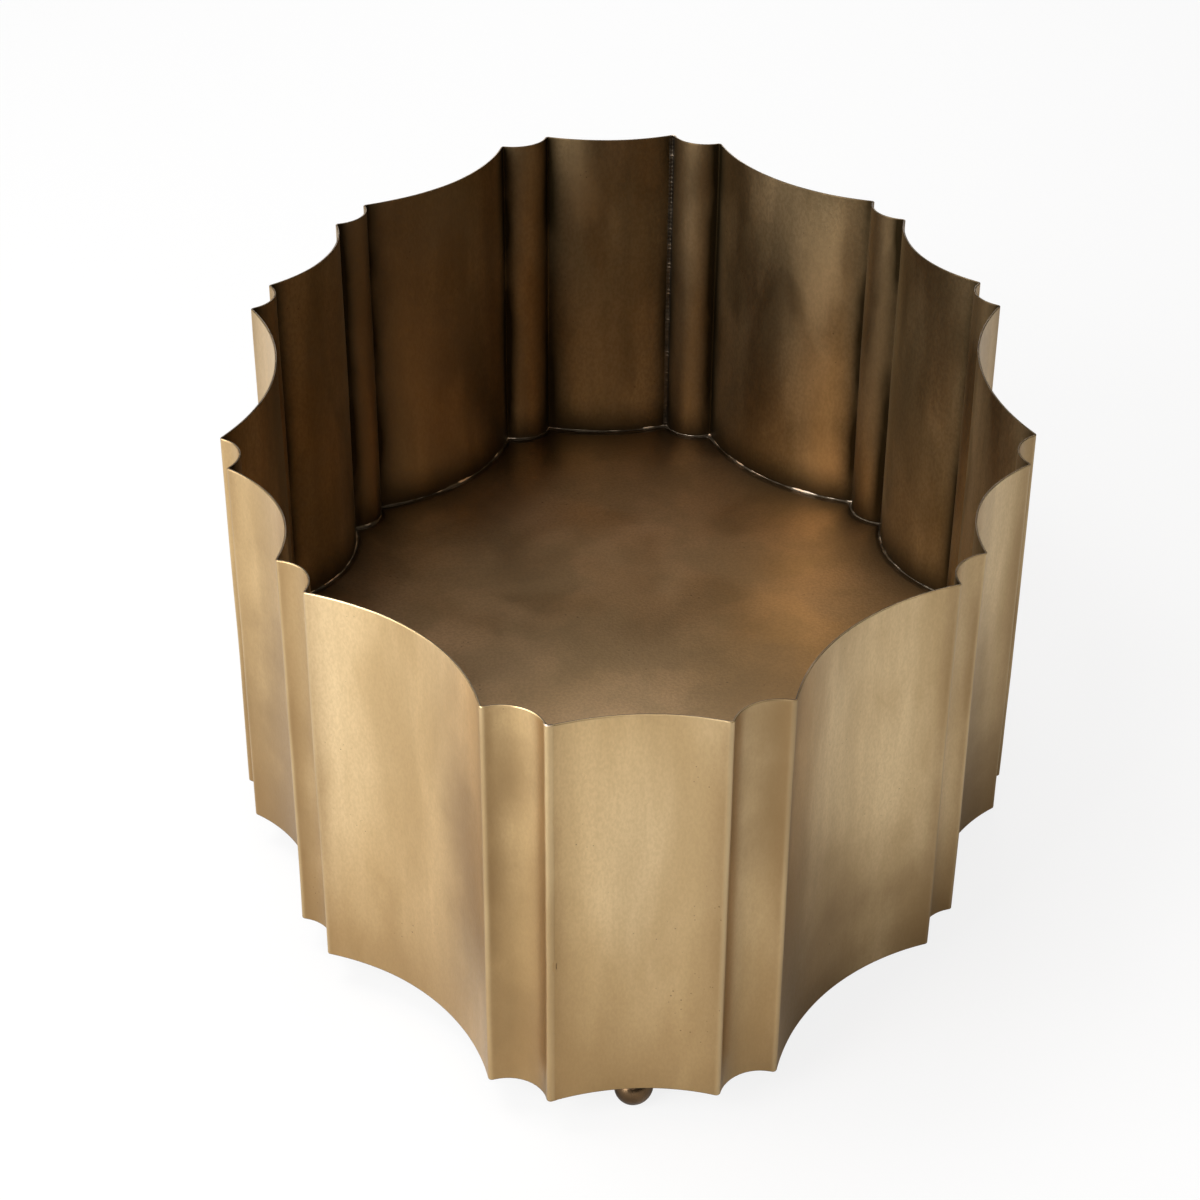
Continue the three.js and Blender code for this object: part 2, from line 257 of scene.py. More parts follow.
# ------------------------------------------------------------------ the faults of hand work
HALF_WIDTH = 200 * MM  # the amounts below are those at one of these from the middle
HALF_LENGTH = 300 * MM
SHOULDERS_OUT = 5.5 * MM
SHOULDERS_BACK = 6.0 * MM  # the right ones; the left ones stand as far forward
ENDS_IN = 4.5 * MM
ENDS_LEFT = 3.3 * MM
BACK_WIDER = 3.4 * MM
SIDES_RACKED = 4.6 * MM
WANDER = 0.6 * MM  # how far the folds and flutes wander
WANDER_SIZE = 75 * MM
DENT = 0.14 * MM
DENT_SIZE = 22 * MM
DENT_PLACE = Vector((7, 3, 1))  # so that dents and wander don't go together
UPRIGHT = 0.6  # faults run a little further up the wall than along it
RIM_WANDER = 0.5 * MM
HAND_SEED = 11  # the same faults each time

noise.seed_set(HAND_SEED)


def bent_plan(x, y):
    """The whole plan is a little out of true, as a strip folded by hand is."""
    across = x / HALF_WIDTH
    along = y / HALF_LENGTH
    shift_x = SHOULDERS_OUT * across * along**2 - ENDS_LEFT * along**2
    shift_x += BACK_WIDER * across * along + SIDES_RACKED * across**2 * along
    shift_y = SHOULDERS_BACK * across * along**2 - ENDS_IN * across**2 * along
    return x + shift_x, y + shift_y


def by_hand(points):
    """Moves points off the true shape, by the same smooth amount for every piece at one place."""
    moved = []
    for x, y, z in points:
        place = Vector((x, y, z * UPRIGHT))
        wander = noise.noise_vector(place / WANDER_SIZE) * WANDER
        dent = noise.noise_vector(place / DENT_SIZE + DENT_PLACE) * DENT
        level = noise.noise(Vector((x, y, 0)) / WANDER_SIZE) * RIM_WANDER
        lift = level * max(0, z - FLOOR_TOP) / (WALL_TOP - FLOOR_TOP)
        bent_x, bent_y = bent_plan(x, y)
        moved.append((bent_x + wander.x + dent.x, bent_y + wander.y + dent.y, z + lift))
    return np.array(moved)


# ------------------------------------------------------------------ making meshes
MARKS = ("crest", "nook", "narrow")  # what a finish is told about each point


def marks_by_name(marks):
    """The marks of every point, as one list for each mark."""
    return dict(zip(MARKS, np.array(marks).T))


def finish_piece(name, node, points, faces, materials, finishes=None, marks=None):
    """A smooth mesh object that stands for a CAD node and rides with it."""
    mesh = bpy.data.meshes.new(name)
    mesh.from_pydata([tuple(p) for p in by_hand(points)], [], faces)
    for material in materials:
        mesh.materials.append(material)
    mesh.polygons.foreach_set("material_index", finishes or [0] * len(faces))
    mesh.polygons.foreach_set("use_smooth", [True] * len(faces))
    for label, values in (marks or {}).items():
        layer = mesh.attributes.new(label, "FLOAT", "POINT")
        layer.data.foreach_set("value", np.asarray(values, dtype=np.float32))
    mesh.update()
    piece = bpy.data.objects.new(name, mesh)
    bpy.context.scene.collection.objects.link(piece)
    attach(piece, "root")
    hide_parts(node)


def loft_faces(rings, size, closed):
    """Faces between closed loops of equal size, laid one after another."""
    faces = []
    for ring in range(rings if closed else rings - 1):
        here = ring * size
        beyond = (ring + 1) % rings * size
        for k in range(size):
            after = (k + 1) % size
            faces.append((here + k, beyond + k, beyond + after, here + after))
    return faces


def turned_over(faces):
    return [tuple(reversed(face)) for face in faces]


def end_caps(rings, size):
    """Two faces that close a loft: over its first loop and over its last."""
    last = (rings - 1) * size
    return [tuple(range(size)), tuple(range(last + size - 1, last - 1, -1))]


# ------------------------------------------------------------------ materials: making nodes
def add_node(tree, kind, inputs=None, **settings):
    """A node with its settings, and its inputs either linked or set."""
    made = tree.nodes.new(kind)
    for key, value in settings.items():
        setattr(made, key, value)
    for key, value in (inputs or {}).items():
        if isinstance(value, bpy.types.NodeSocket):
            tree.links.new(value, made.inputs[key])
        else:
            made.inputs[key].default_value = value
    return made


def mix_colours(tree, share, a, b):
    """Colour a, with a share of colour b over it."""
    return add_node(tree, "ShaderNodeMix", {0: share, 6: a, 7: b}, data_type="RGBA").outputs[2]


def maths(tree, operation, *values, clamp=False):
    """A sum on values or sockets."""
    inputs = dict(enumerate(values))
    return add_node(tree, "ShaderNodeMath", inputs, operation=operation, use_clamp=clamp).outputs[0]


def remap(tree, value, low, high, to_low=0.0, to_high=1.0):
    """A smooth step of a value between two levels."""
    inputs = {"Value": value, "From Min": low, "From Max": high, "To Min": to_low, "To Max": to_high}
    return add_node(tree, "ShaderNodeMapRange", inputs, interpolation_type="SMOOTHSTEP").outputs[0]


def new_group(name, inputs, outputs):
    """An empty node group with float inputs and outputs."""
    group = bpy.data.node_groups.new(name, "ShaderNodeTree")
    for label, default in inputs.items():
        socket = group.interface.new_socket(label, in_out="INPUT", socket_type="NodeSocketFloat")
        socket.default_value = default
    for label in outputs:
        group.interface.new_socket(label, in_out="OUTPUT", socket_type="NodeSocketFloat")
    return group, group.nodes.new("NodeGroupInput"), group.nodes.new("NodeGroupOutput")


def place_on_piece(tree):
    """The shaded point's place in metres."""
    return add_node(tree, "ShaderNodeTexCoord").outputs["Object"]


def scaled_place(group, scale):
    """The same place, stretched along each axis."""
    inputs = {"Vector": place_on_piece(group), "Scale": scale}
    return add_node(group, "ShaderNodeMapping", inputs).outputs[0]


def mark(tree, label):
    """What the mesh says about this point: see MARKS."""
    return add_node(tree, "ShaderNodeAttribute", attribute_name=label).outputs["Fac"]


def noise_at(group, place, scale, detail):
    """Smooth noise, from 0 to 1."""
    inputs = {"Vector": place, "Scale": scale, "Detail": detail}
    return add_node(group, "ShaderNodeTexNoise", inputs).outputs[0]


def vector_maths(group, operation, *values):
    return add_node(group, "ShaderNodeVectorMath", dict(enumerate(values)), operation=operation)


# ------------------------------------------------------------------ materials: shared effects
def make_clouds():
    """Soft uneven tarnish in drifting patches, a little taller than wide."""
    inputs = {"Size": 12.0, "Contrast": 0.2, "Detail": 3.0, "Tall": 0.6}
    group, given, out = new_group("tarnish_clouds", inputs, ["Mask", "Tint"])
    stretch = {"X": 1.0, "Y": 1.0, "Z": given.outputs["Tall"]}
    place = scaled_place(group, add_node(group, "ShaderNodeCombineXYZ", stretch).outputs[0])
    detail = given.outputs["Detail"]
    shared = {"Vector": place, "Detail": detail, "Roughness": 0.5, "Distortion": 0.35}
    broad = add_node(group, "ShaderNodeTexNoise", shared | {"Scale": given.outputs["Size"]})
    low = maths(group, "SUBTRACT", 0.5, given.outputs["Contrast"])
    high = maths(group, "ADD", 0.5, given.outputs["Contrast"])
    group.links.new(remap(group, broad.outputs[0], low, high), out.inputs["Mask"])
    tint_size = maths(group, "MULTIPLY", given.outputs["Size"], 0.7)
    apart = shared | {"Scale": tint_size, "W": 3.7}
    tint = add_node(group, "ShaderNodeTexNoise", apart, noise_dimensions="4D")
    group.links.new(remap(group, tint.outputs[0], 0.36, 0.64), out.inputs["Tint"])
    return group


def make_brushing():
    """Upright lines from rubbing the sheet down."""
    group, given, out = new_group("upright_brushing", {"Fineness": 900.0}, ["Mask"])
    size = maths(group, "MULTIPLY", given.outputs["Fineness"], 0.12)
    lines = noise_at(group, scaled_place(group, (1, 1, 0.1)), size, 3)
    group.links.new(remap(group, lines, 0.38, 0.62), out.inputs["Mask"])
    return group


def make_specks():
    """Small dark pits and spots, gathered in a few places."""
    inputs = {"Fineness": 260.0, "Amount": 0.12}
    group, given, out = new_group("dark_specks", inputs, ["Mask"])
    place = place_on_piece(group)
    grid = {"Vector": place, "Scale": given.outputs["Fineness"]}
    cells = add_node(group, "ShaderNodeTexVoronoi", grid)
    gathered = remap(group, noise_at(group, place, 30.0, 2), 0.5, 0.75)
    size = maths(group, "MULTIPLY", given.outputs["Amount"], gathered)
    never_none = maths(group, "ADD", size, 0.001)
    inside = maths(group, "DIVIDE", cells.outputs["Distance"], never_none)
    group.links.new(maths(group, "SUBTRACT", 1, inside, clamp=True), out.inputs["Mask"])
    return group


def make_wear_and_highlight_on_crests():
    """Bright metal along the crests of the folds and the rim, partly wear and partly a painted
    highlight, broken up by rubbing.
    """
    group, given, out = new_group("wear_and_highlight_on_crests", {"Strength": 0.8}, ["Mask"])
    broken = noise_at(group, scaled_place(group, (1, 1, 0.25)), 45.0, 3)
    uneven = remap(group, broken, 0.3, 0.65, 0.45, 1.0)
    worn_and_highlight = maths(group, "MULTIPLY", remap(group, mark(group, "crest"), 0.2, 0.95), uneven)
    group.links.new(maths(group, "MULTIPLY", worn_and_highlight, given.outputs["Strength"]), out.inputs["Mask"])
    return group


def make_soft_patch():
    """A soft patch about a place in metres, taller than wide, with a drifting edge."""
    inputs = {"X": 0.0, "Y": 0.0, "Z": 0.0, "Reach": 0.05}
    group, given, out = new_group("soft_patch", inputs, ["Mask"])
    at = {axis: given.outputs[axis] for axis in "XYZ"}
    middle = add_node(group, "ShaderNodeCombineXYZ", at).outputs[0]
    place = place_on_piece(group)
    away = vector_maths(group, "SUBTRACT", place, middle).outputs[0]
    away = vector_maths(group, "MULTIPLY", away, (1, 1, 0.45)).outputs[0]
    length = vector_maths(group, "LENGTH", away).outputs["Value"]
    drift = noise_at(group, place, 28.0, 3)
    share = maths(group, "DIVIDE", length, given.outputs["Reach"])
    share = maths(group, "ADD", share, maths(group, "SUBTRACT", drift, 0.5))
    group.links.new(remap(group, share, 1.0, 0.1), out.inputs["Mask"])
    return group


def make_tarnish_and_shade_beside_folds():
    """Dark tarnish and painted shade beside the folds and in the narrow flutes, uneven up the wall.
    """
    inputs = {"Beside folds": 0.5, "In narrow": 0.3}
    group, given, out = new_group("tarnish_and_shade_beside_folds", inputs, ["Mask"])
    patchy = noise_at(group, scaled_place(group, (1, 1, 0.3)), 42.0, 3)
    uneven = remap(group, patchy, 0.3, 0.68, 0.55, 1.0)
    nook = remap(group, mark(group, "nook"), 0.08, 1.0)
    beside = maths(group, "MULTIPLY", nook, given.outputs["Beside folds"])
    within = maths(group, "MULTIPLY", mark(group, "narrow"), given.outputs["In narrow"])
    both = maths(group, "MULTIPLY", maths(group, "ADD", beside, within), uneven, clamp=True)
    group.links.new(both, out.inputs["Mask"])
    return group


CLOUDS = make_clouds()
BRUSHING = make_brushing()
SPECKS = make_specks()
WEAR_AND_HIGHLIGHT_ON_CRESTS = make_wear_and_highlight_on_crests()
TARNISH_AND_SHADE_BESIDE_FOLDS = make_tarnish_and_shade_beside_folds()
SOFT_PATCH = make_soft_patch()


def place_group(tree, group, inputs):
    """One of the effects above, with this material's own values."""
    return add_node(tree, "ShaderNodeGroup", inputs, node_tree=group).outputs


def new_metal(name):
    """A material with a metal shader, ready for its colour, roughness and relief."""
    material = bpy.data.materials.new(name)
    material.use_nodes = True
    tree = material.node_tree
    shader = tree.nodes["Principled BSDF"]
    shader.inputs["Metallic"].default_value = 1.0
    return material, tree, shader


def relief(tree, shader, mask, depth):
    """Very small relief on the surface, in metres."""
    bump = add_node(tree, "ShaderNodeBump", {"Height": mask, "Strength": 1.0, "Distance": depth})
    tree.links.new(bump.outputs[0], shader.inputs["Normal"])


def patches(tree, places):
    """One mask for several soft patches, each given as x, y, z and reach in millimetres."""
    mask = 0.0
    for place in places:
        inputs = dict(zip(("X", "Y", "Z", "Reach"), (value * MM for value in place)))
        patch = place_group(tree, SOFT_PATCH, inputs)["Mask"]
        mask = maths(tree, "MAXIMUM", mask, patch)
    return mask


def some(tree, mask, share):
    """A weaker mask."""
    return maths(tree, "MULTIPLY", mask, share)


def height(tree):
    """The shaded point's height in metres, above what the planter stands on."""
    return add_node(tree, "ShaderNodeSeparateXYZ", {0: place_on_piece(tree)}).outputs["Z"]


# ------------------------------------------------------------------ materials: the finishes
FOOT_SHADE_REACH = 90 * MM  # how far up the outside the painted shade at its foot fades
FLOOR_CORNER_SHADE = 26 * MM  # how far up the inside the painted shade above the floor fades
OUTER_STAINS_AND_SHADE = (  # x, y, z and reach in millimetres; dark patches, partly patina and partly painted shade
    (172, -140, 20, 75),
    (150, -225, 10, 62),
    (-175, -140, 40, 85),
    (-78, -283, 120, 42),
    (105, -264, -5, 68),
    (57, -300, 208, 27),
    (57, -300, 175, 24),
    (-57, -300, 186, 15),
    (-58, -300, 50, 23),
)
# painted highlights: places inside given the lighter colour of a highlight
PAINTED_HIGHLIGHT_PLACES = (
    (122, 225, 165, 36),
    (123, 225, 105, 30),
    (126, 223, 40, 26),
    (-22, 304, 196, 18),
)
# a painted cool reflection on the inner left walls
COOL_REFLECTION_PLACES = ((-135, 212, 110, 120),)


def make_outer_brass():
    """Satin antique brass: brushed upright, wear and a painted highlight on the crests, tarnish and
    painted shade beside the folds, painted shade at the foot.
    """
    material, tree, shader = new_metal("outer_brass")
    drift = place_group(tree, CLOUDS, {"Size": 5.0, "Contrast": 0.16, "Detail": 2.0})
    mottle = place_group(tree, CLOUDS, {"Size": 20.0, "Contrast": 0.11, "Detail": 5.0, "Tall": 0.35})
    grain = place_group(tree, CLOUDS, {"Size": 900.0, "Contrast": 0.2, "Tall": 0.5})
    lines = place_group(tree, BRUSHING, {"Fineness": 900.0})
    streaks = place_group(tree, BRUSHING, {"Fineness": 300.0})
    specks = place_group(tree, SPECKS, {"Fineness": 300.0, "Amount": 0.16})
    worn_and_highlight = place_group(tree, WEAR_AND_HIGHLIGHT_ON_CRESTS, {"Strength": 0.4})["Mask"]
    fold_tarnish_and_shade = place_group(tree, TARNISH_AND_SHADE_BESIDE_FOLDS, {"Beside folds": 0.55, "In narrow": 0.18})["Mask"]
    colour = mix_colours(tree, drift["Mask"], (0.735, 0.52, 0.262, 1), (0.84, 0.64, 0.372, 1))
    colour = mix_colours(tree, some(tree, mottle["Mask"], 0.56), colour, (0.46, 0.30, 0.13, 1))
    colour = mix_colours(tree, some(tree, streaks["Mask"], 0.24), colour, (0.42, 0.285, 0.135, 1))
    colour = mix_colours(tree, some(tree, lines["Mask"], 0.15), colour, (0.48, 0.33, 0.16, 1))
    colour = mix_colours(tree, some(tree, grain["Mask"], 0.2), colour, (0.38, 0.25, 0.12, 1))
    # tarnish and painted shade beside the folds and in the narrow flutes
    colour = mix_colours(tree, fold_tarnish_and_shade, colour, (0.26, 0.155, 0.065, 1))
    # painted shade at the foot: the shaded floor that shows in the wall low down
    low = remap(tree, height(tree), WALL_BOTTOM + FOOT_SHADE_REACH, WALL_BOTTOM)
    foot_shade = maths(tree, "MULTIPLY", low, remap(tree, mottle["Tint"], 0.0, 1.0, 0.2, 0.6))
    colour = mix_colours(tree, foot_shade, colour, (0.34, 0.21, 0.09, 1))
    # dark patches: partly patina, partly painted shade of the shaded floor seen in the wall
    stains_and_shade = patches(tree, OUTER_STAINS_AND_SHADE)
    colour = mix_colours(tree, some(tree, stains_and_shade, 0.75), colour, (0.30, 0.19, 0.085, 1))
    # painted highlight along the crests and the rim, over some real wear
    colour = mix_colours(tree, worn_and_highlight, colour, (0.80, 0.63, 0.37, 1))
    colour = mix_colours(tree, specks["Mask"], colour, (0.10, 0.06, 0.03, 1))
    tree.links.new(colour, shader.inputs["Base Color"])
    rough = remap(tree, drift["Tint"], 0, 1, 0.27, 0.33)
    rough = maths(tree, "ADD", rough, some(tree, grain["Tint"], 0.04))
    tree.links.new(maths(tree, "ADD", rough, some(tree, fold_tarnish_and_shade, 0.1)), shader.inputs["Roughness"])
    relief(tree, shader, grain["Mask"], 0.02 * MM)
    return material


def make_inner_brass():
    """Dark bronze patina: brown with red and green-brown drifts, painted highlights and a painted
    cool reflection; darkest beside the folds, with tarnish and painted shade, and by the floor, with
    painted shade.
    """
    material, tree, shader = new_metal("inner_brass")
    drift = place_group(tree, CLOUDS, {"Size": 9.0, "Contrast": 0.15, "Detail": 2.0, "Tall": 0.4})
    mottle = place_group(tree, CLOUDS, {"Size": 30.0, "Contrast": 0.1, "Detail": 5.0, "Tall": 0.4})
    grain = place_group(tree, CLOUDS, {"Size": 600.0, "Contrast": 0.12, "Tall": 0.6})
    lines = place_group(tree, BRUSHING, {"Fineness": 600.0})
    streaks = place_group(tree, BRUSHING, {"Fineness": 330.0})
    specks = place_group(tree, SPECKS, {"Fineness": 220.0, "Amount": 0.14})
    fold_tarnish_and_shade = place_group(tree, TARNISH_AND_SHADE_BESIDE_FOLDS, {"Beside folds": 1.25, "In narrow": 0.0})["Mask"]
    colour = mix_colours(tree, drift["Mask"], (0.449, 0.324, 0.17, 1), (0.622, 0.459, 0.252, 1))
    colour = mix_colours(tree, some(tree, drift["Tint"], 0.35), colour, (0.333, 0.194, 0.094, 1))
    colour = mix_colours(tree, some(tree, mottle["Mask"], 0.5), colour, (0.189, 0.142, 0.069, 1))
    colour = mix_colours(tree, some(tree, streaks["Mask"], 0.4), colour, (0.216, 0.15, 0.074, 1))
    colour = mix_colours(tree, some(tree, lines["Mask"], 0.2), colour, (0.45, 0.31, 0.148, 1))
    colour = mix_colours(tree, some(tree, grain["Mask"], 0.22), colour, (0.135, 0.086, 0.039, 1))
    # painted highlight down the middle of each narrow flute
    narrow = some(tree, mark(tree, "narrow"), 0.25)
    colour = mix_colours(tree, narrow, colour, (0.58, 0.38, 0.20, 1))
    # painted cool reflection: a greyer cast on the inner left walls
    cool_reflection = patches(tree, COOL_REFLECTION_PLACES)
    colour = mix_colours(tree, some(tree, cool_reflection, 0.6), colour, (0.42, 0.33, 0.23, 1))
    # painted highlight on the back flutes
    painted_highlight = patches(tree, PAINTED_HIGHLIGHT_PLACES)
    colour = mix_colours(tree, some(tree, painted_highlight, 0.42), colour, (0.82, 0.57, 0.30, 1))
    # tarnish and painted shade beside the folds, close to black
    colour = mix_colours(tree, fold_tarnish_and_shade, colour, (0.041, 0.028, 0.012, 1))
    # painted shade at the foot of the inside, where the walls meet the floor
    low = remap(tree, height(tree), FLOOR_TOP + FLOOR_CORNER_SHADE, FLOOR_TOP)
    colour = mix_colours(tree, some(tree, low, 0.8), colour, (0.063, 0.043, 0.02, 1))
    colour = mix_colours(tree, specks["Mask"], colour, (0.059, 0.043, 0.027, 1))
    tree.links.new(colour, shader.inputs["Base Color"])
    rough = remap(tree, mottle["Tint"], 0, 1, 0.35, 0.45)
    tree.links.new(maths(tree, "ADD", rough, some(tree, fold_tarnish_and_shade, 0.1)), shader.inputs["Roughness"])
    relief(tree, shader, grain["Mask"], 0.02 * MM)
    return material


def make_rim_brass():
    """The cut edge of the sheet, left dark where rubbing doesn't reach."""
    material, tree, shader = new_metal("rim_brass")
    clouds = place_group(tree, CLOUDS, {"Size": 60.0, "Contrast": 0.25})
    colour = mix_colours(tree, clouds["Mask"], (0.05, 0.034, 0.02, 1), (0.13, 0.09, 0.05, 1))
    tree.links.new(colour, shader.inputs["Base Color"])
    tree.links.new(remap(tree, clouds["Tint"], 0, 1, 0.4, 0.55), shader.inputs["Roughness"])
    return material


def make_floor_bronze():
    """The floor plate, clouded by the torch that brazed it in, and given painted shade towards the
    walls.
    """
    material, tree, shader = new_metal("floor_bronze")
    drift = place_group(tree, CLOUDS, {"Size": 6.0, "Contrast": 0.25, "Detail": 2.0})
    mottle = place_group(tree, CLOUDS, {"Size": 22.0, "Contrast": 0.11, "Detail": 5.0, "Tall": 1.0})
    grain = place_group(tree, CLOUDS, {"Size": 600.0, "Contrast": 0.15})
    specks = place_group(tree, SPECKS, {"Fineness": 200.0, "Amount": 0.18})
    edge = mark(tree, "nook")
    colour = mix_colours(tree, drift["Mask"], (0.247, 0.164, 0.081, 1), (0.394, 0.263, 0.147, 1))
    colour = mix_colours(tree, some(tree, drift["Tint"], 0.4), colour, (0.302, 0.167, 0.089, 1))
    colour = mix_colours(tree, some(tree, mottle["Mask"], 0.42), colour, (0.174, 0.123, 0.064, 1))
    colour = mix_colours(tree, some(tree, grain["Mask"], 0.25), colour, (0.128, 0.085, 0.045, 1))
    # painted shade beside the walls
    colour = mix_colours(tree, some(tree, edge, 0.75), colour, (0.073, 0.049, 0.024, 1))
    colour = mix_colours(tree, specks["Mask"], colour, (0.054, 0.032, 0.02, 1))
    tree.links.new(colour, shader.inputs["Base Color"])
    tree.links.new(remap(tree, mottle["Tint"], 0, 1, 0.38, 0.48), shader.inputs["Roughness"])
    relief(tree, shader, grain["Mask"], 0.03 * MM)
    return material


def make_braze_metal():
    """Cast filler: a dull grey-brown skin, with a painted highlight on its tops and a few painted
    glints.
    """
    material, tree, shader = new_metal("braze_metal")
    clouds = place_group(tree, CLOUDS, {"Size": 70.0, "Contrast": 0.2})
    glint_place = place_group(tree, CLOUDS, {"Size": 30.0, "Contrast": 0.08, "Detail": 2.0})
    grain = place_group(tree, CLOUDS, {"Size": 700.0, "Contrast": 0.25})
    colour = mix_colours(tree, clouds["Mask"], (0.035, 0.026, 0.017, 1), (0.10, 0.08, 0.057, 1))
    colour = mix_colours(tree, some(tree, grain["Mask"], 0.2), colour, (0.25, 0.21, 0.16, 1))
    # painted highlight on the tops of the beads and the seam's ripples
    painted_top_highlight = remap(tree, mark(tree, "crest"), 0.15, 0.8)
    colour = mix_colours(tree, painted_top_highlight, colour, (0.72, 0.60, 0.47, 1))
    # painted glints on a few of those tops
    painted_glint = maths(tree, "MULTIPLY", remap(tree, glint_place["Mask"], 0.75, 1.0), painted_top_highlight)
    colour = mix_colours(tree, painted_glint, colour, (0.88, 0.62, 0.42, 1))
    tree.links.new(colour, shader.inputs["Base Color"])
    tree.links.new(remap(tree, clouds["Tint"], 0, 1, 0.42, 0.62), shader.inputs["Roughness"])
    relief(tree, shader, grain["Mask"], 0.06 * MM)
    return material


def make_ball_brass():
    """Turned and polished ball, gone brown."""
    material, tree, shader = new_metal("ball_brass")
    clouds = place_group(tree, CLOUDS, {"Size": 90.0, "Contrast": 0.2})
    specks = place_group(tree, SPECKS, {"Fineness": 700.0, "Amount": 0.15})
    colour = mix_colours(tree, clouds["Mask"], (0.12, 0.075, 0.04, 1), (0.22, 0.14, 0.075, 1))
    colour = mix_colours(tree, specks["Mask"], colour, (0.08, 0.05, 0.03, 1))
    tree.links.new(colour, shader.inputs["Base Color"])
    tree.links.new(remap(tree, clouds["Tint"], 0, 1, 0.26, 0.4), shader.inputs["Roughness"])
    return material


OUTER_BRASS = make_outer_brass()
INNER_BRASS = make_inner_brass()
RIM_BRASS = make_rim_brass()
FLOOR_BRONZE = make_floor_bronze()
BRAZE_METAL = make_braze_metal()
BALL_BRASS = make_ball_brass()


# ------------------------------------------------------------------ the wall
OUTSIDE, INSIDE, EDGE = range(3)  # the wall's three finishes
WALL_METALS = (OUTER_BRASS, INNER_BRASS, RIM_BRASS)
EDGE_TURNS = [math.radians(turn) for turn in (30, 60, 90)]
WEAR_AND_HIGHLIGHT_BELOW_RIM = (0.35, 0.55)  # at the last two levels under the rim: wear and a painted highlight
WEAR_AND_HIGHLIGHT_ON_RIM = 0.5


def rounded_edge(level, up):
    """An edge of the sheet, from outside to inside.

    Each point gives its share of the thickness, height, finish, and wear with a painted highlight.
    """
    edge = []
    for turn in EDGE_TURNS:
        share = OUTER_ROUND / SHEET * (1 - math.cos(turn))
        drop = OUTER_ROUND * (1 - math.sin(turn))
        edge.append((share, level - up * drop, OUTSIDE, WEAR_AND_HIGHLIGHT_ON_RIM))
    for turn in EDGE_TURNS[::-1]:
        share = 1 - INNER_ROUND / SHEET * (1 - math.cos(turn))
        drop = INNER_ROUND * (1 - math.sin(turn))
        edge.append((share, level - up * drop, EDGE, 0))
    return edge


def wall_levels(rounding):
    """Heights up one face of the sheet, with one more close to each edge."""
    low = WALL_BOTTOM + rounding
    high = WALL_TOP - rounding
    count = round((high - low) / RISE_STEP)
    between = np.linspace(low, high, count + 1)[1:-1]
    return [low, low + FINE_STEP, *between, high - FINE_STEP, high]


def sheet_section():
    """The upright section of the wall, once round from the outside's foot."""
    levels = wall_levels(OUTER_ROUND)
    outside = [(0, z, OUTSIDE, 0) for z in levels[:-2]]
    outside += [(0, z, OUTSIDE, below_rim_wear_and_highlight) for z, below_rim_wear_and_highlight in zip(levels[-2:], WEAR_AND_HIGHLIGHT_BELOW_RIM)]
    inside = [(1, z, INSIDE, 0) for z in reversed(wall_levels(INNER_ROUND))]
    foot = [(share, z, EDGE, 0) for share, z, _, _ in reversed(rounded_edge(WALL_BOTTOM, -1))]
    return outside + rounded_edge(WALL_TOP, 1) + inside + foot


def make_wall_half(name, node, first):
    """One half of the wall: a strip of sheet folded along its flutes, from seam to seam."""
    half = len(FLUTES) // 2
    outer, outer_marks = plan_path(first, half, 0, FOLD_RADIUS, FLUTE_STEP)
    inner, _ = plan_path(first, half, SHEET, FOLD_RADIUS - SHEET, FLUTE_STEP)
    section = sheet_section()
    size = len(section)
    points = []
    marks = []
    for near, far, (crest, nook, narrow) in zip(outer, inner, outer_marks):
        for share, z, finish, edge_wear_and_highlight in section:
            x, y = near + (far - near) * share
            points.append((x, y, z))
            # the outside's crest mark: wear and a painted highlight along the rim and the crests
            marks.append((max(edge_wear_and_highlight, crest) if finish == OUTSIDE else 0, nook, narrow))
    faces = loft_faces(len(outer), size, closed=False) + end_caps(len(outer), size)
    band = [max(section[k][2], section[(k + 1) % size][2]) for k in range(size)]
    finishes = band * (len(outer) - 1) + [EDGE, EDGE]
    marks = marks_by_name(marks)
    finish_piece(name, node, points, faces, WALL_METALS, finishes, marks)


# ------------------------------------------------------------------ the seams
SEAM_RISE = 0.8 * MM
SEAM_OVERLAP = 2.2 * MM  # how far the dressed braze feathers out over each half
SEAM_PROUD = 0.1 * MM
SEAM_BEAD = 1.5 * MM
SEAM_RIPPLE = 0.4 * MM
SEAM_RIPPLE_PITCH = 2.6 * MM
SEAM_FEATHER = (-1, 0.4, 1, 1, 1, 1, 1, 1, 1, 1, 1, 0.4, -1)  # across the dressed outside
SEAM_SWELL = (-0.25, 0.55, 0.9, 1, 1.05, 1, 0.9, 0.55, -0.25)  # across the bead inside
SEAM_ENDS = 2  # points that run out along the flute on each side


def flute_sweep(index):
    """The angle that a flute spans about its centre."""
    centre = FLUTES[index]["centre"]
    start = bearing(centre, fold_centre(index, 0, FOLD_RADIUS))
    end_fold = fold_centre((index + 1) % len(FLUTES), 0, FOLD_RADIUS)
    return abs(unwrapped(bearing(centre, end_fold), start) - start)


def seam_shell(index, inset, reach, count):
    """Points over a fold at one inset, running out along both flutes by a reach."""
    radius = FOLD_RADIUS - inset
    fold = fold_arc(index, inset, radius, np.linspace(0, 1, count - 2 * SEAM_ENDS))
    near = np.array([reach, reach / 2])
    before = (index - 1) % len(FLUTES)
    after = index % len(FLUTES)
    before_shares = 1 - near / (FLUTES[before]["radius"] * flute_sweep(before))
    after_shares = near[::-1] / (FLUTES[after]["radius"] * flute_sweep(after))
    run_in = flute_arc(before, inset, radius, before_shares)
    run_out = flute_arc(after, inset, radius, after_shares)
    return np.vstack([run_in, fold, run_out])


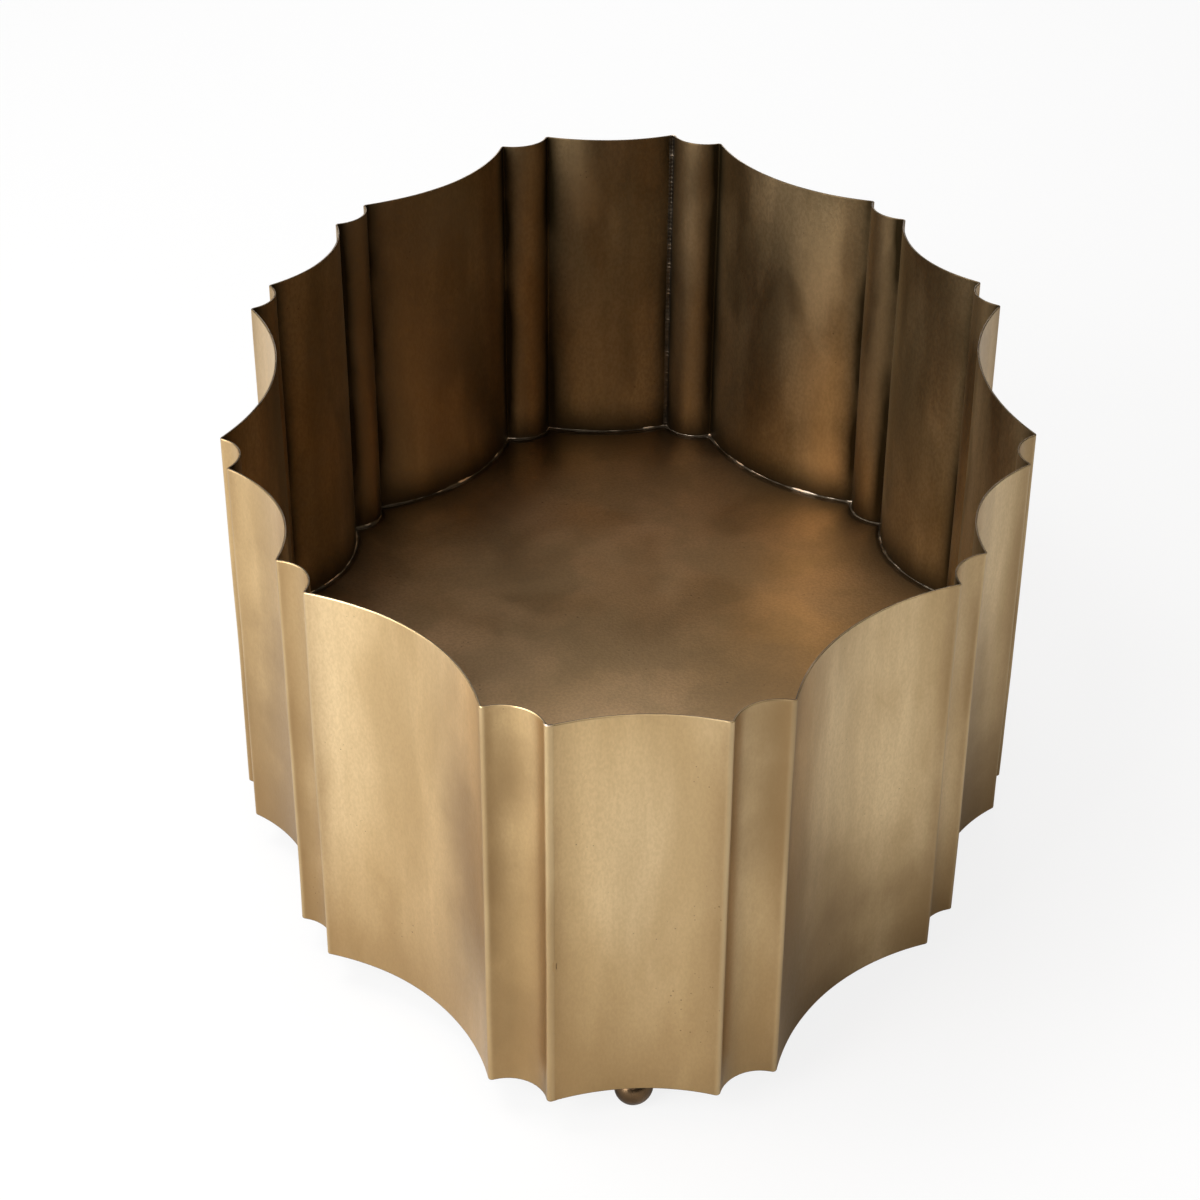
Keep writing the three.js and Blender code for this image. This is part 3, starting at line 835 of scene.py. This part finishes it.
def make_seam(name, node, index):
    """Braze at a seam: dressed round outside, and a rippled bead inside up to the rim."""
    outside = seam_shell(index, 0, SEAM_OVERLAP, len(SEAM_FEATHER))
    inside = seam_shell(index, SHEET, SEAM_BEAD, len(SEAM_SWELL))
    centre = fold_centre(index, 0, FOLD_RADIUS)
    outward = centre / np.linalg.norm(centre)
    levels = np.arange(WALL_BOTTOM + 0.1 * MM, WALL_TOP, SEAM_RISE)
    levels = np.append(levels, WALL_TOP - 0.05 * MM)
    points = []
    marks = []
    for z in levels:
        wobble = noise.noise(Vector((index, 5, z * 90)))
        drift = noise.noise(Vector((index, 9, z * 60)))
        lumps = noise.noise(Vector((index, 2, z * 160)))
        ripple = math.sin(z / SEAM_RIPPLE_PITCH * 2 * math.pi + 2.5 * drift)
        dressed = SEAM_PROUD * (0.6 + 1.1 * wobble)
        bead = SEAM_RIPPLE * (1.0 + 0.45 * ripple + 0.9 * lumps)
        # the ripples' tops, where the braze colour puts a painted highlight
        top = max(0, ripple) * max(0, 0.15 + 1.3 * lumps)
        for point, rise in zip(outside, SEAM_FEATHER):
            away = point - centre
            x, y = point + away / np.linalg.norm(away) * dressed * rise
            points.append((x, y, z))
            # crest mark over the dressed seam: wear and a painted highlight
            marks.append((0.35 + 0.6 * max(0, rise), 1, 0.5))
        for point, rise in zip(inside[::-1], SEAM_SWELL):
            x, y = point - outward * bead * rise
            points.append((x, y, z))
            marks.append((top * max(0, rise), 1, 0))
    size = len(outside) + len(inside)
    faces = loft_faces(len(levels), size, closed=False) + end_caps(len(levels), size)
    dressed_faces = len(outside) - 1
    band = [0] * dressed_faces + [1] * (size - dressed_faces)
    finishes = band * (len(levels) - 1) + [1, 1]
    metals = (OUTER_BRASS, BRAZE_METAL)
    marks = marks_by_name(marks)
    finish_piece(name, node, points, turned_over(faces), metals, finishes, marks)


# ------------------------------------------------------------------ the floor
FLOOR_RINGS = 46
FLOOR_STEP = 6 * MM
FLOOR_BUCKLE = 0.7 * MM  # the plate isn't quite flat
FLOOR_BUCKLE_SIZE = 130 * MM
FLOOR_SHADE_REACH = 24 * MM  # the band of painted shade beside the wall
INMOST_SHARE = 0.02
BITE = 0.15 * MM  # how far the plate and the bead go into their neighbour


def make_floor_plate():
    """The floor plate: rings that shrink from its scalloped edge to the middle."""
    inset = LINING - BITE
    edge, _ = plan_path(0, len(FLUTES), inset, FOLD_RADIUS - inset, FLOOR_STEP, closed=True)
    count = len(edge)
    to_middle = np.linalg.norm(edge, axis=1)
    points = []
    shade = []
    for level in (FLOOR_TOP, FLOOR_UNDERSIDE):
        for share in np.linspace(1, INMOST_SHARE, FLOOR_RINGS):
            shade += list(np.exp(-to_middle * (1 - share) / FLOOR_SHADE_REACH))
            for x, y in edge * share:
                buckle = noise.noise(Vector((x, y, 4)) / FLOOR_BUCKLE_SIZE) * FLOOR_BUCKLE
                buckle *= min(1, (1 - share) * 5)
                points.append((x, y, level + buckle))
    half = FLOOR_RINGS * count
    faces = []
    for ring in range(FLOOR_RINGS - 1):
        for k in range(count):
            a = ring * count + k
            b = ring * count + (k + 1) % count
            c = a + count
            d = b + count
            faces.append((a, b, d, c))
            faces.append((half + c, half + d, half + b, half + a))
    faces += [(k, half + k, half + (k + 1) % count, (k + 1) % count) for k in range(count)]
    inmost = (FLOOR_RINGS - 1) * count
    faces.append(tuple(inmost + k for k in range(count)))
    faces.append(tuple(half + inmost + k for k in reversed(range(count))))
    marks = {"nook": shade}
    finish_piece("floor", "floor_plate", points, faces, [FLOOR_BRONZE], marks=marks)


FLOOR_BEAD_STEP = 1.5 * MM
FLOOR_BEAD_LEG = 2.4 * MM
FLOOR_BEAD_TOE_FOLD = 3.6 * MM
FLOOR_BEAD_SIZE = 0.42  # as a share of its fullest
FLOOR_BEAD_ROUGH = 0.6
FLOOR_BEAD_SECTION = (  # share of the way out from the wall, share of its height
    (0.0, 1.0),
    (0.1, 0.55),
    (0.28, 0.28),
    (0.6, 0.1),
    (1.0, 0.0),
    (1.0, -0.25),
    (0.0, -0.25),
)


def make_floor_bead():
    """The bead of braze round the floor: a hollow fillet of uneven width, with lumps."""
    count = len(FLUTES)
    inset = SHEET - BITE
    root, marks = plan_path(0, count, inset, FOLD_RADIUS - inset, FLOOR_BEAD_STEP, closed=True)
    reach = SHEET + 2 * FLOOR_BEAD_LEG
    toe, _ = plan_path(0, count, reach, FLOOR_BEAD_TOE_FOLD, FLOOR_BEAD_STEP, closed=True)
    points = []
    crests = []
    for start, stop, (_, nook, _) in zip(root, toe, marks):
        here = Vector((start[0], start[1], 0))
        size = FLOOR_BEAD_SIZE + FLOOR_BEAD_ROUGH * noise.noise(here / (18 * MM))
        size += 0.25 * noise.noise(here / (4 * MM))
        lump = max(0, noise.noise(here / (34 * MM) + Vector((4, 4, 4))) - 0.28) * 1.6
        lump += 0.3 * nook**3
        width = max(0.2, size + lump) * 0.5
        rise = max(0.25, size + 0.5 * lump) * FLOOR_BEAD_LEG
        # where the bead's top gets a painted highlight and painted glints
        glint_place = min(1, max(0, 3.6 * noise.noise(here / (11 * MM)) + 0.2 + lump))
        for share, level in FLOOR_BEAD_SECTION:
            x, y = start + (stop - start) * share * width
            points.append((x, y, FLOOR_TOP + level * rise))
            crests.append(glint_place * min(1, 2 * level) if level > 0 else 0)
    faces = turned_over(loft_faces(len(root), len(FLOOR_BEAD_SECTION), closed=True))
    marks = {"crest": crests}
    finish_piece("floor_bead", "floor_braze", points, faces, [BRAZE_METAL], marks=marks)


# ------------------------------------------------------------------ the feet
BALL_SIDES = 56
BALL_RINGS = 30
BALL_TURNS = [2 * math.pi * k / BALL_SIDES for k in range(BALL_SIDES)]
STAND_FLAT = 2 * MM  # radius of the flat that a ball stands on
SEAT_FLAT = 3 * MM  # radius of its flat inside the braze
COLLAR_REACH = 2.0 * MM
COLLAR_BORE = 2.0 * MM
COLLAR_GRIP = math.radians(62)  # how high up the ball the braze begins


def ball_shape(side):
    """A ball's centre and radius, from its node's box."""
    low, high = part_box(f"foot_{side}")
    radius = (high.x - low.x) / 2
    level = low.z + math.sqrt(radius**2 - STAND_FLAT**2)
    middle = (low + high) / 2
    return Vector((middle.x, middle.y, level)), radius


def make_foot(side):
    """A turned ball, with the small flat that it stands on."""
    centre, radius = ball_shape(side)
    start = -math.pi / 2 + math.asin(STAND_FLAT / radius)
    stop = math.pi / 2 - math.asin(SEAT_FLAT / radius)
    points = []
    for lean in np.linspace(start, stop, BALL_RINGS + 1):
        wide = radius * math.cos(lean)
        z = centre.z + radius * math.sin(lean)
        for turn in BALL_TURNS:
            points.append((centre.x + wide * math.cos(turn), centre.y + wide * math.sin(turn), z))
    faces = loft_faces(BALL_RINGS + 1, BALL_SIDES, closed=False)
    faces = turned_over(faces + end_caps(BALL_RINGS + 1, BALL_SIDES))
    finish_piece(f"ball_{side}", f"foot_{side}", points, faces, [BALL_BRASS])


def make_collar(side):
    """The ring of braze that holds a ball under the floor, lumpy and hollow."""
    node = f"foot_braze_{side}"
    low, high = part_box(node)
    middle = (low + high) / 2
    centre, radius = ball_shape(side)
    seat = FLOOR_UNDERSIDE + 0.2 * MM
    points = []
    for turn in BALL_TURNS:
        ahead = Vector((math.cos(turn), math.sin(turn), 0))
        uneven = 1 + 0.35 * noise.noise(middle / (6 * MM) + ahead * 1.5)
        grip = COLLAR_GRIP - 0.1 * uneven
        on_ball = radius * math.cos(grip)
        toe = centre.z + radius * math.sin(grip)
        spread = COLLAR_REACH * uneven
        section = (
            (on_ball, toe),
            (on_ball + 0.35 * spread, toe + 0.62 * (seat - toe)),
            (on_ball + spread, seat),
            (COLLAR_BORE, seat),
            (COLLAR_BORE, toe + 0.3 * MM),
        )
        for away, z in section:
            points.append((middle.x + ahead.x * away, middle.y + ahead.y * away, z))
    faces = turned_over(loft_faces(BALL_SIDES, len(section), closed=True))
    finish_piece(f"collar_{side}", node, points, faces, [BRAZE_METAL])


# ------------------------------------------------------------------ studio
STUDIO_FLOOR = 6  # metres from the middle to each side
FLOOR_GREY = (0.6, 0.6, 0.6, 1)
FLOOR_SOFTENING = 0.8
FLOOR_GLOW = 1.05
WHITE = (1, 1, 1, 1)
SOFTBOX_SIZE = 1.0
SOFTBOX_DISTANCE = 2.3
LIT_PLACE = Vector((0, 0, 0.12))
SKY_LIGHT = 0.02
BACKDROP_LIGHT = 0.95
SOFTBOXES = (  # name, azimuth, elevation, power in watts, warmth
    ("key_low", -45, 12, 22.5, 0),
    ("key_middle", -45, 27, 18.5, 0),
    ("key_high", -45, 45, 10.5, 0),
    ("left_low", -72, 14, 9.5, 0),
    ("left", -72, 30, 12.5, 0),
    ("high_left", -100, 62, 25, 0),
    ("front", 0, 34, 9.5, 0.1),
    ("right", 60, 35, 6.0, 0.25),
    ("behind_right", 150, 50, 2.2, 0),
    ("behind_low", 180, 25, 12.5, 0),
    ("behind_high", 180, 62, 9.5, 0),
)


def seen_by_camera(tree):
    return add_node(tree, "ShaderNodeLightPath").outputs["Is Camera Ray"]


def make_floor():
    """A wide pale floor. The camera sees its shade softened, and the metal sees it as it is."""
    reach = STUDIO_FLOOR
    corners = [(-reach, -reach, 0), (reach, -reach, 0), (reach, reach, 0), (-reach, reach, 0)]
    mesh = bpy.data.meshes.new("studio_floor")
    mesh.from_pydata(corners, [], [(0, 1, 2, 3)])
    floor = bpy.data.objects.new("studio_floor", mesh)
    bpy.context.scene.collection.objects.link(floor)
    material = bpy.data.materials.new("studio_floor")
    material.use_nodes = True
    tree = material.node_tree
    shader = tree.nodes["Principled BSDF"]
    shader.inputs["Base Color"].default_value = FLOOR_GREY
    shader.inputs["Roughness"].default_value = 0.9
    shader.inputs["Specular IOR Level"].default_value = 0.1
    glow = add_node(tree, "ShaderNodeEmission", {"Color": WHITE, "Strength": FLOOR_GLOW})
    share = some(tree, seen_by_camera(tree), FLOOR_SOFTENING)
    inputs = {0: share, 1: shader.outputs[0], 2: glow.outputs[0]}
    blend = add_node(tree, "ShaderNodeMixShader", inputs)
    tree.links.new(blend.outputs[0], tree.nodes["Material Output"].inputs["Surface"])
    floor.data.materials.append(material)


def add_softbox(name, azimuth, elevation, power, warmth):
    """A square softbox turned to the vessel. Azimuth 0 is in front of it and 90 on its right."""
    around = math.radians(azimuth)
    above = math.radians(elevation)
    level = math.cos(above)
    away = Vector((level * math.sin(around), -level * math.cos(around), math.sin(above)))
    data = bpy.data.lights.new(name, "AREA")
    data.shape = "SQUARE"
    data.size = SOFTBOX_SIZE
    data.energy = power
    data.color = (1, 1 - 0.4 * warmth, 1 - warmth)
    lamp = bpy.data.objects.new(name, data)
    lamp.location = LIT_PLACE + away * SOFTBOX_DISTANCE
    lamp.rotation_mode = "QUATERNION"
    lamp.rotation_quaternion = (-away).to_track_quat("-Z", "Y")
    bpy.context.scene.collection.objects.link(lamp)


def light_studio():
    for softbox in SOFTBOXES:
        add_softbox(*softbox)
    world = bpy.data.worlds.new("studio")
    world.use_nodes = True
    tree = world.node_tree
    sky = tree.nodes["Background"]
    sky.inputs["Color"].default_value = WHITE
    sky.inputs["Strength"].default_value = SKY_LIGHT
    backdrop = add_node(tree, "ShaderNodeBackground", {"Color": WHITE, "Strength": BACKDROP_LIGHT})
    inputs = {0: seen_by_camera(tree), 1: sky.outputs[0], 2: backdrop.outputs[0]}
    blend = add_node(tree, "ShaderNodeMixShader", inputs)
    tree.links.new(blend.outputs[0], tree.nodes["World Output"].inputs["Surface"])
    bpy.context.scene.world = world
    bpy.context.scene.view_settings.view_transform = "Standard"


# ------------------------------------------------------------------ the whole
place_camera()
front_seam = seam_fold("seam_braze_front")
back_seam = seam_fold("seam_braze_back")
make_wall_half("wall_right", "wall_half_right", front_seam)
make_wall_half("wall_left", "wall_half_left", back_seam)
make_seam("seam_front", "seam_braze_front", front_seam)
make_seam("seam_back", "seam_braze_back", back_seam)
make_floor_plate()
make_floor_bead()
for side in ("front", "right", "back", "left"):
    make_foot(side)
    make_collar(side)
make_floor()
light_studio()
